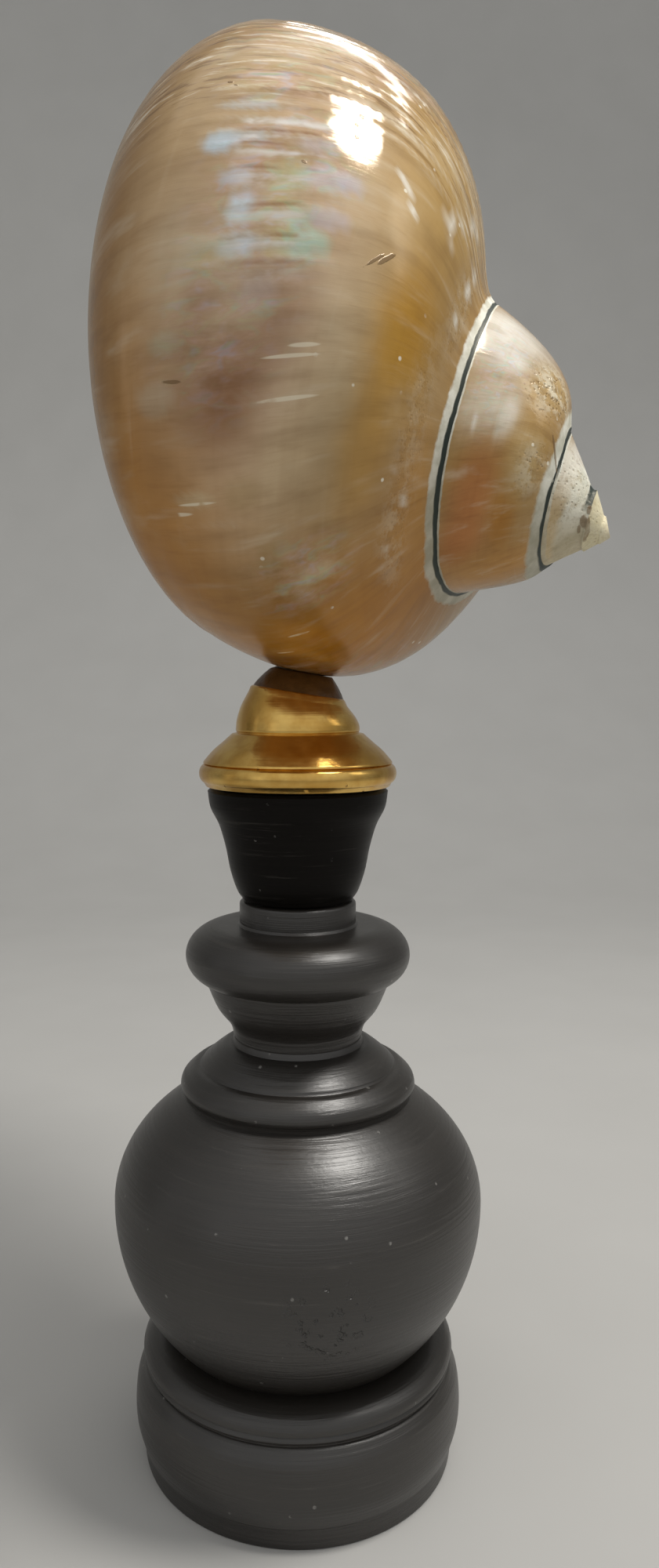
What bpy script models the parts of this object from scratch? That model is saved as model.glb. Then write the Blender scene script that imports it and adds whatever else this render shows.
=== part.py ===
"""A polished turban shell on a turned wooden stand.

Units are metres and Z is up. The stand's axis is the Z axis and the table is at Z = 0.
The shell's apex points to +X, a little down and a little towards -Y.

The shell is worked out in its own frame: the origin is the apex, +Z runs along the shell's
axis from the apex to the base, +X faces the front (-Y) and +Y faces up. A place on its spiral
is a turn angle: 0 at the front, 90 degrees at the top, and 360 more for each turn grown.
"""
import math

import bmesh
import bpy
from mathutils import Matrix, Vector

MM = 0.001
TURN = 2 * math.pi
GAP = 0.3 * MM

# Shell: where its apex is and how its axis lies
APEX = Vector((42.1 * MM, -9.0 * MM, 126.5 * MM))
AXIS_DIP = math.radians(22.7)
AXIS_TOWARDS_FRONT = math.radians(17.8)

# Shell: the suture line, as distance along the axis and radius at turn angle 0,
# with the growth of each in one turn
SUTURE_DROP = 20.7 * MM
SUTURE_RADIUS = 18.8 * MM
DROP_GROWTH = 2.54
RADIUS_GROWTH = 2.18
LIP_ANGLE = math.radians(148)
WHORLS = 4

# Shell: how a whorl swells between two sutures, as parts of the width between them
FULL_WHORL_ANGLE = math.radians(90)
WHORL_FULLNESS = 0.88
EARLY_SWELL = -0.04
BAND_DEPTH = 0.025
BAND_WIDTH = 0.07

# Shell: the base, as parts of the last suture's drop and radius
BASE_SHOULDER = 1.24
BASE_REACH = 1.56
BASE_FOOT_RADIUS = 0.32
COLUMELLA_END = 60.0 * MM

# Shell: the worn tip, which leans off the axis
TIP_FRONT = -0.4 * MM
TIP_UP = -1.3 * MM
TIP_LENGTH = 9.0 * MM

# Shell: the lip leans forward at the suture and back at the base
LIP_ADVANCE = math.radians(10)
LIP_RETREAT = math.radians(8)
LIP_LENGTH = math.radians(90)

# Shell: the hollow, as parts of the last suture's drop and radius
HOLLOW_DROP = 0.896
HOLLOW_RADIUS = 0.576
HOLLOW_HALF_LENGTH = 0.331
HOLLOW_HALF_WIDTH = 0.372
HOLLOW_TILT = math.radians(20)
HOLLOW_DEPTH = math.radians(330)
HOLLOW_PAST_LIP = math.radians(24)

# Shell: mesh steps
STEPS_PER_TURN = 36
WHORL_STEPS = 8
BASE_STEPS = 8
HOLLOW_TURN_STEPS = 20
HOLLOW_RING_STEPS = 18

# Pedestal
LATHE_STEPS = 36
FOOT_RADIUS = 22.4 * MM
FOOT_TOP_RADIUS = 21.5 * MM
BALL_RADIUS = 25.5 * MM
BALL_CENTRE = 34.8 * MM
BALL_RISE = 17.5 * MM
BALL_DROP = 25.0 * MM
RING_RADIUS = 16.4 * MM
RING_CENTRE = 50.4 * MM
STEP_RADIUS = 13.8 * MM
WAIST_RADIUS = 8.95 * MM
WAIST_HEIGHT = 56.4 * MM
DISC_RADIUS = 15.75 * MM
DISC_CENTRE = 68.0 * MM
DISC_HALF_HEIGHT = 4.0 * MM
COLLAR_RADIUS = 8.2 * MM
PEDESTAL_TOP = 75.4 * MM

# Neck and the tenon under it
NECK_BOTTOM = PEDESTAL_TOP + GAP
NECK_TOP = 91.2 * MM
NECK_FOOT_RADIUS = 7.75 * MM
NECK_RIM_RADIUS = 12.7 * MM
TENON_RADIUS = 2.7 * MM
TENON_LENGTH = 7.0 * MM
PLUG_RADIUS = 9.9 * MM
PLUG_HEIGHT = 4.2 * MM

# Brass cap
CAP_BOTTOM = NECK_TOP + GAP
CAP_BEAD_RADIUS = 13.9 * MM
CAP_BEAD_CENTRE = 93.3 * MM
CAP_NECK_RADIUS = 8.75 * MM
CAP_NECK_BOTTOM = 99.0 * MM
CAP_TOP = 104.2 * MM
CAP_TOP_RADIUS = 7.0 * MM
CAP_SLANT = math.radians(9)

# Bed that holds the shell on the cap
BED_RADIUS = 6.7 * MM
BED_HEIGHT = 4.4 * MM


def clear_scene():
    for old in list(bpy.data.objects):
        bpy.data.objects.remove(old, do_unlink=True)


def new_collection(name):
    group = bpy.data.collections.new(name)
    bpy.context.scene.collection.children.link(group)
    return group


def new_material(name, colour, roughness, metallic=0.0):
    material = bpy.data.materials.new(name)
    material.use_nodes = True
    shader = material.node_tree.nodes["Principled BSDF"]
    shader.inputs["Base Color"].default_value = (*colour, 1.0)
    shader.inputs["Roughness"].default_value = roughness
    shader.inputs["Metallic"].default_value = metallic
    return material


def arc(centre, size, start, end, steps):
    """Points on an ellipse about centre, angles in degrees from outward towards up."""
    points = []
    for step in range(steps + 1):
        angle = math.radians(start + (end - start) * step / steps)
        points.append((centre[0] + size[0] * math.cos(angle),
                       centre[1] + size[1] * math.sin(angle)))
    return points


def smooth_line(stations, steps):
    """A smooth curve through a few stations, with the given steps between each two."""
    first = [2 * stations[0][k] - stations[1][k] for k in range(2)]
    last = [2 * stations[-1][k] - stations[-2][k] for k in range(2)]
    ends = [first, *stations, last]
    points = [stations[0]]
    for here in range(1, len(ends) - 2):
        before, start, end, after = ends[here - 1:here + 3]
        for step in range(1, steps + 1):
            u = step / steps
            points.append(tuple(
                0.5 * (2 * start[k]
                       + (end[k] - before[k]) * u
                       + (2 * before[k] - 5 * start[k] + 4 * end[k] - after[k]) * u ** 2
                       + (3 * start[k] - before[k] - 3 * end[k] + after[k]) * u ** 3)
                for k in range(2)))
    return points


def in_mm(points):
    return [(radius * MM, height * MM) for radius, height in points]


def turned(name, profile, material, group):
    """Turn a profile of (radius, height) points, given from top to bottom, about Z."""
    mesh = bpy.data.meshes.new(name)
    outline = [(radius, 0.0, height) for radius, height in profile]
    mesh.from_pydata(outline, [(k, k + 1) for k in range(len(outline) - 1)], [])
    mesh.materials.append(material)
    piece = bpy.data.objects.new(name, mesh)
    group.objects.link(piece)
    screw = piece.modifiers.new("turning", "SCREW")
    screw.axis = "Z"
    screw.steps = LATHE_STEPS
    screw.render_steps = LATHE_STEPS
    screw.use_merge_vertices = True
    screw.merge_threshold = 0.01 * MM
    screw.use_smooth_shade = True
    return piece


def pedestal(material, group):
    bore_radius = TENON_RADIUS + GAP
    bore_bottom = PEDESTAL_TOP - TENON_LENGTH - GAP
    profile = [(0.0, bore_bottom), (bore_radius, bore_bottom), (bore_radius, PEDESTAL_TOP)]
    profile += [(COLLAR_RADIUS - 0.3 * MM, PEDESTAL_TOP),
                (COLLAR_RADIUS, PEDESTAL_TOP - 0.3 * MM),
                (COLLAR_RADIUS, DISC_CENTRE + DISC_HALF_HEIGHT + 0.1 * MM)]
    disc_depth = 4.75 * MM
    profile += arc((DISC_RADIUS - disc_depth, DISC_CENTRE), (disc_depth, DISC_HALF_HEIGHT),
                   90, -66, 6)
    profile += smooth_line([(12.8 * MM, 64.0 * MM), (11.3 * MM, 60.7 * MM),
                            (9.5 * MM, 58.4 * MM), (WAIST_RADIUS, WAIST_HEIGHT)], 1)
    step_rise = 2.3 * MM
    step_bottom = 53.2 * MM
    profile += arc((9.3 * MM, step_bottom), (STEP_RADIUS - 9.3 * MM, step_rise), 86, 0, 2)
    profile += [(13.5 * MM, 52.8 * MM)]
    ring_depth = 2.8 * MM
    profile += arc((RING_RADIUS - ring_depth, RING_CENTRE), (ring_depth, 2.2 * MM), 80, -32, 3)
    ball_start = math.degrees(math.acos(15.8 * MM / BALL_RADIUS))
    ball_end = math.degrees(math.acos(17.4 * MM / BALL_RADIUS))
    profile += arc((0.0, BALL_CENTRE), (BALL_RADIUS, BALL_RISE), ball_start, 0, 4)
    profile += arc((0.0, BALL_CENTRE), (BALL_RADIUS, BALL_DROP), -8, -ball_end, 4)
    roll_inside = 17.6 * MM
    profile += arc((roll_inside, 13.1 * MM), (FOOT_TOP_RADIUS - roll_inside, 3.4 * MM), 90, 0, 3)
    profile += in_mm([(20.8, 12.7), (21.2, 12.3), (21.2, 11.8), (20.8, 11.4)])
    profile += smooth_line([(21.3 * MM, 11.1 * MM), (22.1 * MM, 8.8 * MM),
                            (FOOT_RADIUS, 6.2 * MM), (22.0 * MM, 3.3 * MM)], 1)
    profile += in_mm([(21.6, 2.8), (21.5, 0.3), (21.2, 0.0), (0.0, 0.0)])
    return turned("pedestal", profile, material, group)


def neck(material, group):
    profile = [(0.0, NECK_TOP + PLUG_HEIGHT), (PLUG_RADIUS, NECK_TOP + PLUG_HEIGHT),
               (PLUG_RADIUS, NECK_TOP), (NECK_RIM_RADIUS - 0.3 * MM, NECK_TOP)]
    profile += smooth_line([(NECK_RIM_RADIUS, NECK_TOP - 0.4 * MM), (12.3 * MM, 88.5 * MM),
                            (11.1 * MM, 86.1 * MM), (10.15 * MM, 82.9 * MM),
                            (9.5 * MM, 79.7 * MM), (8.6 * MM, 77.0 * MM),
                            (NECK_FOOT_RADIUS, NECK_BOTTOM)], 1)
    profile += [(TENON_RADIUS, NECK_BOTTOM), (TENON_RADIUS, NECK_BOTTOM - TENON_LENGTH),
                (0.0, NECK_BOTTOM - TENON_LENGTH)]
    return turned("neck", profile, material, group)


def brass_cap(material, group):
    """A spun cap: rim bead, hollow-sided skirt and a short neck cut off at a slant."""
    recess_radius = PLUG_RADIUS + GAP
    recess_top = NECK_TOP + PLUG_HEIGHT + GAP
    profile = [(0.0, CAP_TOP + 2.0 * MM), (CAP_TOP_RADIUS - 0.7 * MM, CAP_TOP + 2.0 * MM)]
    profile += smooth_line([(CAP_TOP_RADIUS, CAP_TOP), (8.1 * MM, 102.2 * MM),
                            (CAP_NECK_RADIUS, CAP_NECK_BOTTOM + 0.8 * MM)], 1)
    profile += [(CAP_NECK_RADIUS - 0.1 * MM, CAP_NECK_BOTTOM)]
    profile += smooth_line([(9.3 * MM, 98.8 * MM), (10.4 * MM, 97.8 * MM),
                            (12.0 * MM, 96.4 * MM), (13.3 * MM, 94.9 * MM)], 1)
    profile += [(13.1 * MM, 94.6 * MM)]
    bead_depth = 0.9 * MM
    profile += arc((CAP_BEAD_RADIUS - bead_depth, CAP_BEAD_CENTRE), (bead_depth, 1.3 * MM),
                   75, -75, 5)
    profile += [(13.0 * MM, CAP_BOTTOM), (recess_radius, CAP_BOTTOM),
                (recess_radius, recess_top), (0.0, recess_top)]
    return turned("brass_cap", profile, material, group)


def glue_bed(material, group):
    """The dark rounded bed between the slanted cap and the shell."""
    profile = arc((0.0, 0.0), (BED_RADIUS, BED_HEIGHT), 90, 0, 6)
    profile += [(0.0, 0.0)]
    bed = turned("glue_bed", profile, material, group)
    bed.location = (0.0, 0.0, CAP_TOP)
    bed.rotation_euler = (0.0, CAP_SLANT, 0.0)
    return bed


def slant_cutter(group):
    """A block whose slanted underside cuts the cap off just under the bed."""
    size = 30 * MM
    bpy.ops.mesh.primitive_cube_add(size=size)
    block = bpy.context.object
    block.name = "slant_cutter"
    for holder in list(block.users_collection):
        holder.objects.unlink(block)
    group.objects.link(block)
    slant = Matrix.Rotation(CAP_SLANT, 4, "Y")
    block.data.transform(slant @ Matrix.Translation((0.0, 0.0, size / 2 - GAP)))
    block.location = (0.0, 0.0, CAP_TOP)
    return block


def suture_place(angle):
    """Distance along the axis and radius of the suture line at a turn angle."""
    drop = SUTURE_DROP * DROP_GROWTH ** (angle / TURN)
    radius = SUTURE_RADIUS * RADIUS_GROWTH ** (angle / TURN)
    return drop, radius


def whorl_place(angle, across):
    """A place on a whorl's open side; across runs from 0 at one suture to 1 at the next."""
    drop, radius = suture_place(angle)
    next_drop, next_radius = suture_place(angle + TURN)
    drop_run = next_drop - drop
    radius_run = next_radius - radius
    age = (angle - FULL_WHORL_ANGLE) / TURN + 1
    swell = 0.144 + 0.165 * age - 0.132 * age ** 2 + 0.064 * math.sin(math.pi * age) ** 2
    swell = max(EARLY_SWELL, swell)
    skew = max(0.5, 0.73 + 0.41 * age)
    band = BAND_DEPTH * across / BAND_WIDTH * math.exp(1 - across / BAND_WIDTH)
    out = swell * math.sin(math.pi * across ** skew) ** WHORL_FULLNESS - band
    return (drop + drop_run * across - radius_run * out,
            radius + radius_run * across + drop_run * out)


def base_place(angle, inward):
    """A place on the last whorl's base; inward runs from 0 at its rim to 1 at the axis."""
    drop, radius = suture_place(angle + TURN)
    corners = [(drop, radius), (drop * BASE_SHOULDER, radius),
               (drop * BASE_REACH, radius * BASE_FOOT_RADIUS), (COLUMELLA_END, 0.0)]
    outward = 1 - inward
    weights = [outward ** 3, 3 * inward * outward ** 2, 3 * inward ** 2 * outward, inward ** 3]
    return (sum(w * c[0] for w, c in zip(weights, corners)),
            sum(w * c[1] for w, c in zip(weights, corners)))


def local_point(angle, place):
    drop, radius = place
    lean = math.exp(-drop / TIP_LENGTH)
    return Vector((radius * math.cos(angle) + TIP_FRONT * lean,
                   radius * math.sin(angle) + TIP_UP * lean,
                   drop))


def lip_lean(angle):
    """How far a suture row leans ahead; rows past the lip are the base's rim, which lags."""
    if angle > LIP_ANGLE:
        near = 1 - (LIP_ANGLE + TURN - angle) / LIP_LENGTH
        return -LIP_RETREAT * max(0.0, near) ** 2
    near = 1 - (LIP_ANGLE - angle) / LIP_LENGTH
    return LIP_ADVANCE * max(0.0, near) ** 2


def shell_body_mesh():
    """The whole shell as one closed skin, with a flat wall over its mouth."""
    bm = bmesh.new()
    rows = STEPS_PER_TURN * WHORLS
    first_angle = LIP_ANGLE - TURN * WHORLS

    def row_angle(row):
        return first_angle + TURN * row / STEPS_PER_TURN

    sutures = []
    for row in range(rows + STEPS_PER_TURN + 1):
        angle = row_angle(row) + lip_lean(row_angle(row))
        sutures.append(bm.verts.new(local_point(angle, suture_place(angle))))

    whorl_rows = []
    for row in range(rows + 1):
        start_lean = lip_lean(row_angle(row))
        end_lean = lip_lean(row_angle(row) + TURN)
        line = [sutures[row]]
        for step in range(1, WHORL_STEPS):
            across = step / WHORL_STEPS
            angle = row_angle(row) + start_lean + (end_lean - start_lean) * across
            line.append(bm.verts.new(local_point(angle, whorl_place(angle, across))))
        line.append(sutures[row + STEPS_PER_TURN])
        whorl_rows.append(line)

    columella_tip = bm.verts.new((0.0, 0.0, COLUMELLA_END))
    base_rows = []
    for row in range(rows - STEPS_PER_TURN, rows + 1):
        angle = row_angle(row) + lip_lean(row_angle(row) + TURN)
        line = [sutures[row + STEPS_PER_TURN]]
        for step in range(1, BASE_STEPS):
            line.append(bm.verts.new(local_point(angle, base_place(angle, step / BASE_STEPS))))
        line.append(columella_tip)
        base_rows.append(line)

    for lines in (whorl_rows, base_rows):
        for here, ahead in zip(lines, lines[1:]):
            for step in range(len(here) - 1):
                corners = [here[step], here[step + 1], ahead[step + 1], ahead[step]]
                bm.faces.new(list(dict.fromkeys(corners)))

    tip = bm.verts.new(local_point(0.0, (0.0, 0.0)))
    tip_ring = sutures[:STEPS_PER_TURN] + whorl_rows[0][:0:-1]
    mouth_centre = bm.verts.new(local_point(LIP_ANGLE, hollow_centre(LIP_ANGLE)))
    mouth_ring = whorl_rows[-1] + base_rows[-1][1:] + base_rows[0][-2::-1]
    for centre, ring in ((tip, tip_ring), (mouth_centre, mouth_ring)):
        for here, ahead in zip(ring, ring[1:] + ring[:1]):
            if here is not ahead:
                bm.faces.new((centre, here, ahead))

    bmesh.ops.recalc_face_normals(bm, faces=bm.faces)
    mesh = bpy.data.meshes.new("shell")
    bm.to_mesh(mesh)
    bm.free()
    return mesh


def hollow_centre(angle):
    drop, radius = suture_place(angle + TURN)
    return drop * HOLLOW_DROP, radius * HOLLOW_RADIUS


def hollow_mesh():
    """The space inside: oval rings that shrink as they follow the spiral inwards."""
    bm = bmesh.new()
    rings = []
    for row in range(HOLLOW_TURN_STEPS + 1):
        reach = row / HOLLOW_TURN_STEPS
        angle = LIP_ANGLE + HOLLOW_PAST_LIP - (HOLLOW_DEPTH + HOLLOW_PAST_LIP) * reach
        drop, radius = suture_place(angle + TURN)
        centre = hollow_centre(angle)
        fade = math.sqrt(1 - (0.97 * reach) ** 8)
        ring = []
        for step in range(HOLLOW_RING_STEPS):
            around = TURN * step / HOLLOW_RING_STEPS
            long = fade * drop * HOLLOW_HALF_LENGTH * math.cos(around)
            wide = fade * radius * HOLLOW_HALF_WIDTH * math.sin(around)
            place = (centre[0] + long * math.cos(HOLLOW_TILT) - wide * math.sin(HOLLOW_TILT),
                     centre[1] + long * math.sin(HOLLOW_TILT) + wide * math.cos(HOLLOW_TILT))
            ring.append(bm.verts.new(local_point(angle, place)))
        rings.append(ring)
    for here, ahead in zip(rings, rings[1:]):
        for step in range(HOLLOW_RING_STEPS):
            other = (step + 1) % HOLLOW_RING_STEPS
            bm.faces.new((here[step], here[other], ahead[other], ahead[step]))
    bm.faces.new(rings[0])
    bm.faces.new(rings[-1])
    bmesh.ops.recalc_face_normals(bm, faces=bm.faces)
    mesh = bpy.data.meshes.new("hollow")
    bm.to_mesh(mesh)
    bm.free()
    return mesh


def shell_turn():
    """The rotation from the shell's own frame to the world."""
    to_apex = Vector((math.cos(AXIS_DIP) * math.cos(AXIS_TOWARDS_FRONT),
                      -math.cos(AXIS_DIP) * math.sin(AXIS_TOWARDS_FRONT),
                      -math.sin(AXIS_DIP)))
    upward = (Vector((0.0, 0.0, 1.0)) - to_apex * to_apex.z).normalized()
    frontward = upward.cross(-to_apex)
    return Matrix((frontward, upward, -to_apex)).transposed().to_euler()


def place_like_shell(name, mesh, group, lowered=0.0):
    piece = bpy.data.objects.new(name, mesh)
    group.objects.link(piece)
    piece.location = APEX - Vector((0.0, 0.0, lowered))
    piece.rotation_euler = shell_turn()
    return piece


def cut(piece, cutter):
    cutter.hide_render = True
    cutter.display_type = "WIRE"
    boolean = piece.modifiers.new(cutter.name, "BOOLEAN")
    boolean.operation = "DIFFERENCE"
    boolean.solver = "EXACT"
    boolean.object = cutter


def main():
    clear_scene()
    parts = new_collection("turban_shell_on_stand")
    cutters = new_collection("cutters")

    nacre = new_material("nacre", (0.50, 0.33, 0.16), 0.18)
    black_wood = new_material("black_wood", (0.018, 0.017, 0.017), 0.35)
    neck_wood = new_material("neck_wood", (0.016, 0.015, 0.015), 0.32)
    brass = new_material("brass", (0.80, 0.60, 0.28), 0.22, metallic=1.0)
    glue = new_material("dark_glue", (0.06, 0.035, 0.02), 0.4)

    body = shell_body_mesh()
    body.materials.append(nacre)
    shell = place_like_shell("shell", body, parts)
    cut(shell, place_like_shell("hollow_cutter", hollow_mesh(), cutters))
    shell.data.shade_smooth()
    shell.data.set_sharp_from_angle(angle=math.radians(40))

    pedestal(black_wood, parts)
    neck(neck_wood, parts)
    cap = brass_cap(brass, parts)
    bed = glue_bed(glue, parts)
    cut(cap, slant_cutter(cutters))
    cut(bed, place_like_shell("seat_cutter", body.copy(), cutters, lowered=GAP))


main()
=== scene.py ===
"""Looks of a polished turban shell on a turned wooden stand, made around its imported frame.

Metres, Z up. The stand's axis is the Z axis and the table is at Z = 0. The shell is worked
out in its own frame: the origin is the apex, +Z runs along the shell's axis to the base, +X
faces the front and +Y faces up. A place on the spiral is a turn angle, 0 at the front and
growing by 360 degrees a turn, and a share of the way across the whorl.
"""
from math import acos, cos, degrees, pi, radians, sin, sqrt, tan

import bpy
import numpy as np
from mathutils import Matrix, Vector


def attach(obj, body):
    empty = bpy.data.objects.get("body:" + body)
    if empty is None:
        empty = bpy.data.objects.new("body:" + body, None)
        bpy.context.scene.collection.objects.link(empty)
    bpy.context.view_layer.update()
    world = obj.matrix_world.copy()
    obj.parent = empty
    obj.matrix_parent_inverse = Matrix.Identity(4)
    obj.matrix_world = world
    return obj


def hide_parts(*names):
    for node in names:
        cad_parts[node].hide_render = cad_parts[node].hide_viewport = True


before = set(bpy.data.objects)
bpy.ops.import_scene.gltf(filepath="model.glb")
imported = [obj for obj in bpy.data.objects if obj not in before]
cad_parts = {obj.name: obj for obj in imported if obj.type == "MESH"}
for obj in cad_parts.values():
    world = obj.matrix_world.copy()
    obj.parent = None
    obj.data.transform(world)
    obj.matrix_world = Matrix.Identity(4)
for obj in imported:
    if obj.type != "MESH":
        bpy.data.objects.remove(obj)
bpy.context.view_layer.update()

MM = 0.001
TURN = 2 * pi

# Camera
PHOTO_WIDTH = 841
PHOTO_HEIGHT = 2000
FOCAL_PIXELS = 1400.0
AXIS_COLUMN = 380.0
EYE_ROW = 873.0
EYE_DISTANCE = 155.0 * MM
EYE_HEIGHT = 105.7 * MM

# Shell: place, axis and the line of its suture
APEX = Vector((42.1 * MM, -9.0 * MM, 126.5 * MM))
AXIS_DIP = radians(22.7)
AXIS_TOWARDS_FRONT = radians(17.8)
SUTURE_DROP = 20.7 * MM
SUTURE_RADIUS = 18.8 * MM
DROP_GROWTH = 2.54
RADIUS_GROWTH = 2.18
LIP_ANGLE = radians(148)
WHORLS = 4
LAST_COVERED = LIP_ANGLE / TURN - 1
BAND_GROWTH = 1.36
LAST_BANDED = -2.3

# Shell: where the suture's pale band and dark groove fade, below and above the suture line
BAND_NEAR, BAND_FAR = (0.046, 0.034), (0.027, 0.019)
GROOVE_NEAR, GROOVE_FAR = (0.0135, 0.0085), (0.011, 0.007)

# Shell: swell of the whorls by their age in turns, channel below the suture, base
FULL_WHORL_ANGLE = radians(90)
SWELL_START, SWELL_RISE, SWELL_FALL, SWELL_WAVE = 0.144, 0.165, 0.132, 0.064
SKEW_START, SKEW_RISE, SKEW_LEAST = 0.73, 0.41, 0.5
WHORL_FULLNESS = 0.88
EARLY_SWELL = -0.04
BAND_DEPTH = 0.025
BAND_WIDTH = 0.07
BASE_SHOULDER = 1.24
BASE_REACH = 1.56
BASE_FOOT_RADIUS = 0.32
COLUMELLA_END = 60.0 * MM

# Shell: worn tip that leans off the axis
TIP_FRONT = -0.4 * MM
TIP_UP = -1.3 * MM
TIP_LENGTH = 9.0 * MM

# Shell: slant of the lip
LIP_ADVANCE = radians(10)
LIP_RETREAT = radians(8)
LIP_LENGTH = radians(90)

# Shell: hollow inside
HOLLOW_DROP = 0.896
HOLLOW_RADIUS = 0.576
HOLLOW_HALF_LENGTH = 0.331
HOLLOW_HALF_WIDTH = 0.372
HOLLOW_TILT = radians(20)
HOLLOW_DEPTH = radians(330)
HOLLOW_PAST_LIP = radians(24)
HOLLOW_END_ROUNDING = 0.97
LIP_ROUNDING = 1.1 * MM
LIP_ROUNDING_RADIUS = 8 * MM
LIP_ROUNDING_STEPS = 8

# Shell: fineness of the skin, whose rows lie closer together at the front of each turn
FINE_FROM = radians(-36)
FINE_TO = radians(96)
ROWS_BEFORE = 146
FINE_ROWS = 264
ROWS_AFTER = 44
STEPS_PER_TURN = ROWS_BEFORE + FINE_ROWS + ROWS_AFTER
WHORL_STEPS = 38
BASE_STEPS = 26
LIP_STEPS = 10
HOLLOW_STEPS = 120

# Stand
LATHE_STEPS = 180
SHARP_ANGLE = radians(35)
BALL_RADIUS = 25.5 * MM
BALL_CENTRE = 34.8 * MM
BALL_RISE = 17.5 * MM
BALL_DROP = 25.0 * MM
DISC_RADIUS = 15.75 * MM
DISC_CENTRE = 68.0 * MM
DISC_HALF_HEIGHT = 4.0 * MM
CAP_TOP = 104.2 * MM
CAP_SLANT = radians(9)
COLLAR_RISE = 0.8
CAP_CUT = 0.3 * MM
SLANTED_FROM = 99.6 * MM
SOCKET_TOP = 96.0 * MM
BED_GAP = 0.1 * MM
DENTED_PLACE = (3.5 * MM, -24.5 * MM, 30.0 * MM)
DENTED_REACH = (7.5 * MM, 2.0 * MM)


def suture_place(angle):
    """Distance along the axis and radius of the suture line at a turn angle."""
    return (SUTURE_DROP * DROP_GROWTH ** (angle / TURN),
            SUTURE_RADIUS * RADIUS_GROWTH ** (angle / TURN))


def whorl_place(angle, across, lift=0.0):
    """A place on a whorl's open side, from 0 at one suture to 1 at the next, lifted in metres."""
    drop, radius = suture_place(angle)
    next_drop, next_radius = suture_place(angle + TURN)
    drop_run = next_drop - drop
    radius_run = next_radius - radius
    age = (angle - FULL_WHORL_ANGLE) / TURN + 1
    swell = (SWELL_START + SWELL_RISE * age - SWELL_FALL * age ** 2
             + SWELL_WAVE * np.sin(pi * age) ** 2)
    swell = np.maximum(EARLY_SWELL, swell)
    skew = np.maximum(SKEW_LEAST, SKEW_START + SKEW_RISE * age)
    band = BAND_DEPTH * across / BAND_WIDTH * np.exp(1 - across / BAND_WIDTH)
    arch = np.maximum(0.0, np.sin(pi * across ** skew)) ** WHORL_FULLNESS
    out = swell * arch - band + lift / np.hypot(drop_run, radius_run)
    return (drop + drop_run * across - radius_run * out,
            radius + radius_run * across + drop_run * out)


def base_place(angle, inward):
    """A place on the last whorl's base, from 0 at its rim to 1 at the axis."""
    drop, radius = suture_place(angle + TURN)
    corners = [(drop, radius), (drop * BASE_SHOULDER, radius),
               (drop * BASE_REACH, radius * BASE_FOOT_RADIUS), (COLUMELLA_END, 0.0)]
    outward = 1 - inward
    weights = [outward ** 3, 3 * inward * outward ** 2, 3 * inward ** 2 * outward, inward ** 3]
    return (sum(w * c[0] for w, c in zip(weights, corners)),
            sum(w * c[1] for w, c in zip(weights, corners)))


def shell_points(angle, place):
    """Points in the shell's frame, as an array with x, y and z last."""
    drop, radius = np.broadcast_arrays(*place)
    lean = np.exp(-drop / TIP_LENGTH)
    return np.stack([radius * np.cos(angle) + TIP_FRONT * lean,
                     radius * np.sin(angle) + TIP_UP * lean,
                     drop + 0 * radius], -1)


def lip_lean(angle):
    """How far a suture row leans ahead; a turn past the lip, the base's rim lags."""
    ahead = LIP_ADVANCE * np.maximum(0.0, 1 - abs(LIP_ANGLE - angle) / LIP_LENGTH) ** 2
    behind = LIP_RETREAT * np.maximum(0.0, 1 - (LIP_ANGLE + TURN - angle) / LIP_LENGTH) ** 2
    return ahead - behind


def ease(value):
    """0 below 0, 1 above 1 and smooth between."""
    value = np.clip(value, 0.0, 1.0)
    return value * value * (3 - 2 * value)


def wander(turns, across, seed, fine):
    """Smooth irregular waves over the skin, about -1 to 1, the same each time."""
    source = np.random.default_rng(seed)
    total = 0.0
    for _ in range(6):
        along, side = source.normal(0.0, fine, 2)
        total = total + np.sin(TURN * (along * turns + 0.25 * side * across)
                               + source.uniform(0, TURN))
    return total / 3.0


# Growth lines lean back by this many degrees from one suture to the next
LINE_LEAN = 27.0

# Low waves on every whorl: height in mm, seed and fineness
WAVES = [(0.03, 3, 14.0), (0.045, 5, 5.0), (0.012, 7, 60.0)]

# Ripples on the front of the last whorl: growth line in degrees, middle across, half-reach
# across, half-width in degrees, height in mm
RIPPLES = [
    (57.7, 0.84, 0.16, 0.8, 0.14), (54.8, 0.83, 0.15, 0.9, 0.18), (52.5, 0.8, 0.17, 0.7, 0.12),
    (47.8, 0.76, 0.14, 1.0, 0.14), (44.6, 0.72, 0.13, 0.8, 0.09), (41.5, 0.75, 0.16, 1.2, 0.17),
    (38.9, 0.78, 0.1, 0.8, 0.08), (36.3, 0.77, 0.17, 1.2, 0.18), (32.9, 0.76, 0.17, 1.1, 0.16),
    (29.4, 0.74, 0.13, 0.9, 0.08), (25.6, 0.77, 0.13, 1.1, 0.11), (21.6, 0.78, 0.11, 1.1, 0.07),
    (17.6, 0.78, 0.1, 1.2, 0.07), (12.8, 0.74, 0.11, 1.2, 0.07), (5.0, 0.8, 0.12, 1.2, 0.06),
    (-8.0, 0.8, 0.16, 1.2, 0.07),
]

# Ridges over the top of the last whorl: first and last growth line, and the ranges of their
# gaps and half-widths in degrees, their heights in mm, and their middles and reaches across
RIDGES_FROM, RIDGES_TO = 61.0, 150.0
RIDGE_LEAN = 3.0
RIDGE_GAPS = (1.7, 4.2)
RIDGE_WIDTHS, RIDGE_HEIGHTS = (0.55, 1.0), (0.07, 0.19)
RIDGE_MIDDLES, RIDGE_REACHES = (0.45, 0.75), (0.35, 0.6)


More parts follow.
